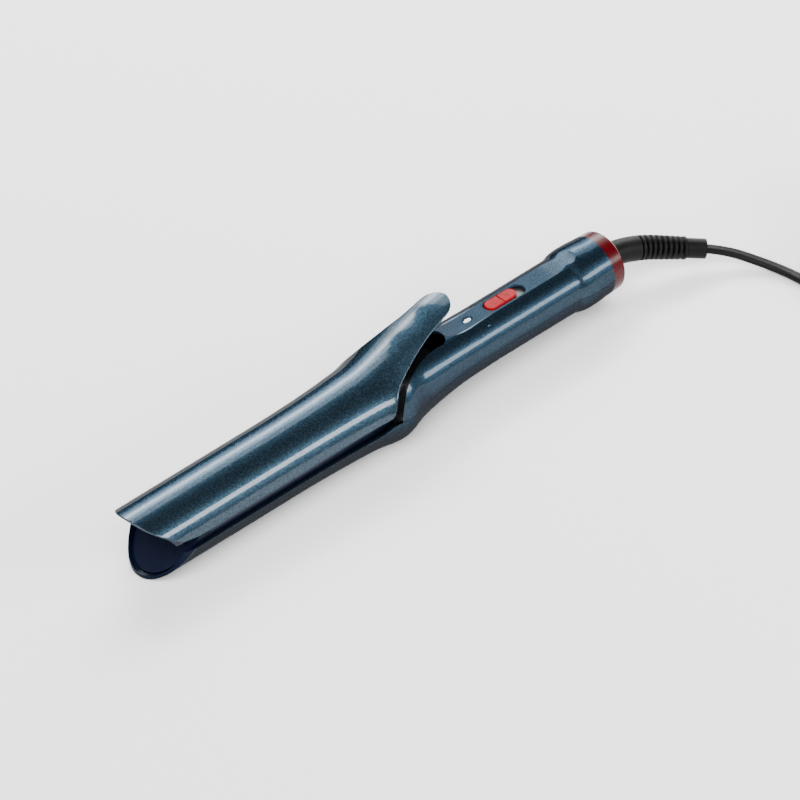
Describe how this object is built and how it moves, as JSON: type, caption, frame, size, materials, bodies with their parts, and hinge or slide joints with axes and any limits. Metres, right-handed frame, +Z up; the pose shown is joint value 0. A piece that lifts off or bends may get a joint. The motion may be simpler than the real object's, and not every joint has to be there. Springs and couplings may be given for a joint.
{
  "type": "curling iron",
  "caption": "Hair curling iron with a wide spring clip and thumb lever, a round handle with a slide switch, and a swivel cord.",
  "frame": {"origin": "centre of the tool's length and width on the surface that it lies on, cord left out", "axes": "+X from the jaws to the cord along the tool's own axis, +Z up with the clip's lever on top, +Y to the left seen from behind the handle"},
  "size_m": [0.4803, 0.1462, 0.0583],
  "materials": {
    "blue_clip_paint": "deep blue metallic paint with fine sparkle",
    "blue_shell_paint": "deep blue metallic paint on moulded plastic",
    "dark_red_plastic": "deep red, slightly see-through moulding",
    "red_plastic": "red satin plastic",
    "black_plastic": "black heat-resistant plastic",
    "black_rubber": "soft black vinyl",
    "barrel_coating": "dark blue-black ceramic coating on aluminium",
    "aluminium": "plain extruded aluminium",
    "steel": "plain steel",
    "brass": "bright brass",
    "board": "green glass-fibre board",
    "ceramic": "heater ceramic in polyimide film",
    "lamp_plastic": "milky lamp window",
    "nickel": "nickel-plated brass"
  },
  "bodies": {
    "handle": {"lower_shell": "blue_shell_paint", "upper_shell": "blue_shell_paint", "end_ring": "dark_red_plastic", "brush_contacts": "brass", "contact_block": "black_plastic", "barrel": "barrel_coating", "tip_cap": "black_plastic", "heater_core": "ceramic", "upper_heat_spreader": "aluminium", "lower_heat_spreader": "aluminium", "thermal_fuse": "steel", "barrel_mount": "black_plastic", "hinge_pin": "steel", "clip_spring": "steel", "circuit_board": "board", "board_components": "black_plastic", "board_screws": "steel", "switch_body": "black_plastic", "lamp": "lamp_plastic", "lamp_window": "lamp_plastic", "housing_screws": "steel", "heater_wires": "black_rubber", "supply_wires": "black_rubber"},
    "clip": {"clip_shell": "blue_clip_paint", "clip_plate": "barrel_coating", "clip_bracket": "steel"},
    "switch": {"switch_slider": "black_plastic", "switch_knob": "red_plastic"},
    "cord_swivel": {"swivel_hub": "black_plastic", "slip_rings": "brass", "strain_relief": "black_rubber", "cord_lead": "black_rubber", "cord_tail": "black_rubber", "cord_coil": "black_rubber", "cord_tie": "black_plastic", "plug_body": "black_rubber", "plug_pins": "nickel"}
  },
  "joints": [
    {"name": "clip_hinge", "type": "hinge", "parent": "handle", "child": "clip", "pos_m": [0.00785, 0, 0.032], "axis": [0, 1, 0], "range_deg": [0, 22], "stiffness_Nm_per_rad": 0.3, "springref_deg": -28.65},
    {"name": "switch_slide", "type": "slide", "parent": "handle", "child": "switch", "axis": [1, 0, 0], "range_m": [0, 0.005]},
    {"name": "cord_turn", "type": "hinge", "parent": "handle", "child": "cord_swivel", "pos_m": [0.16385, 0, 0.02], "axis": [1, 0, 0], "continuous": true}
  ]
}
